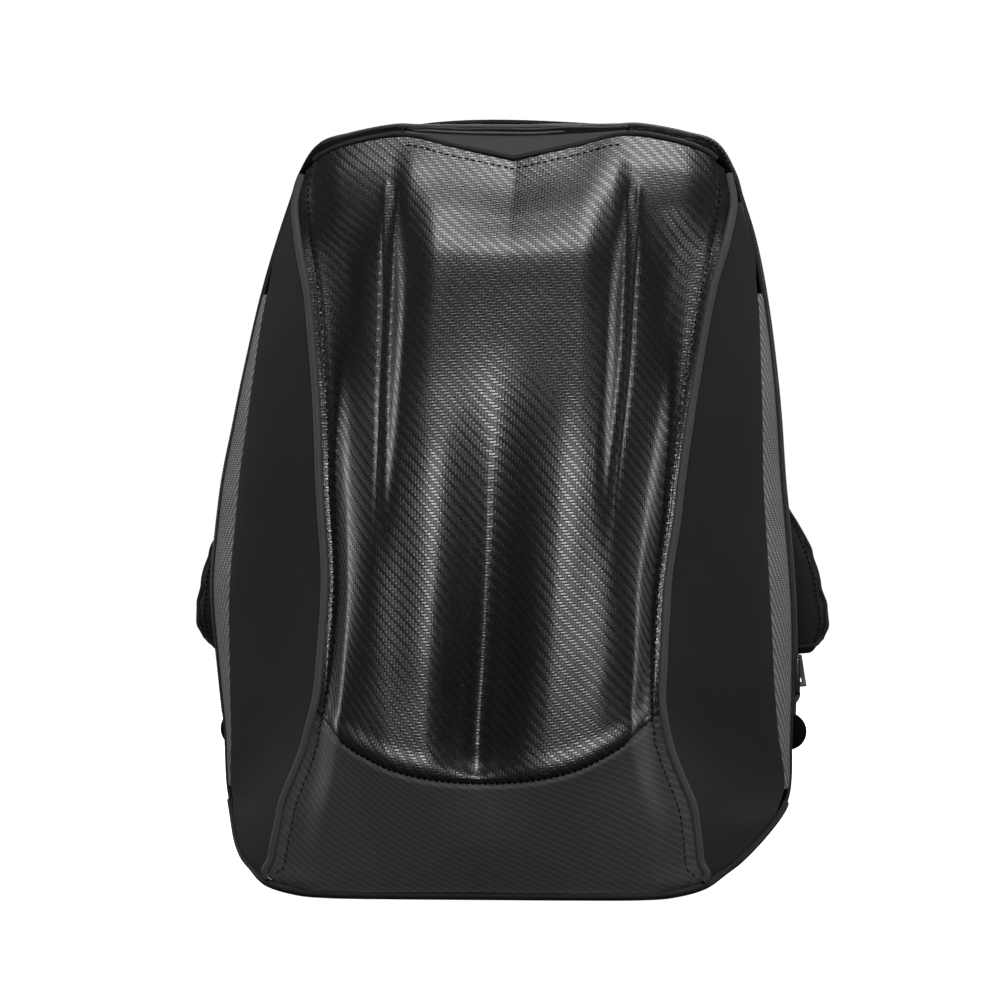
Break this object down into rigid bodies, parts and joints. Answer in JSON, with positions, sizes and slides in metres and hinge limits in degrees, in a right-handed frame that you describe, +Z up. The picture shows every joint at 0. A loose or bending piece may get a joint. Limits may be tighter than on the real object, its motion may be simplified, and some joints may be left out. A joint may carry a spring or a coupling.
{
  "type": "hard shell backpack",
  "caption": "Backpack with a moulded carbon-look front shell, V-notched top, soft sides, padded straps and a grab handle.",
  "frame": {"origin": "on the floor, under the middle of the overall box", "axes": "+Z up; the moulded front shell faces -Y and the back panel with the straps faces +Y; +X is to the right when looking at the shell"},
  "size_m": [0.3884, 0.2032, 0.4831],
  "materials": {
    "shell": "satin moulded sheet with a carbon-look twill weave",
    "piping": "smooth covered cord",
    "trim": "folded binding tape",
    "stretch_cloth": "smooth matte neoprene cloth",
    "band": "fine ribbed carbon-look cloth",
    "insert": "smooth dark cloth",
    "nylon": "coated plain-weave nylon",
    "zip": "zip tape with a coil",
    "zip_metal": "black painted slider and pull",
    "padding": "foam padding under mesh and nylon cloth",
    "webbing": "ribbed polypropylene webbing",
    "plastic": "moulded acetal"
  },
  "bodies": {
    "root": {"front_shell": "shell", "piping_left": "piping", "piping_right": "piping", "shell_top_welt": "trim", "side_panel_left": "stretch_cloth", "side_panel_right": "stretch_cloth", "side_band_left": "band", "side_band_right": "band", "shoulder_yoke_left": "nylon", "shoulder_yoke_right": "nylon", "top_insert": "insert", "zip_flap": "nylon", "rear_gusset": "nylon", "main_zip": "zip", "zip_slider": "zip_metal", "base_panel": "nylon", "base_binding": "trim", "back_panel": "padding", "grab_handle": "webbing", "shoulder_strap_left": "padding", "shoulder_strap_right": "padding", "ladder_lock_left": "plastic", "ladder_lock_right": "plastic", "strap_webbing_left": "webbing", "strap_webbing_right": "webbing", "strap_anchor_left": "nylon", "strap_anchor_right": "nylon"}
  },
  "joints": []
}
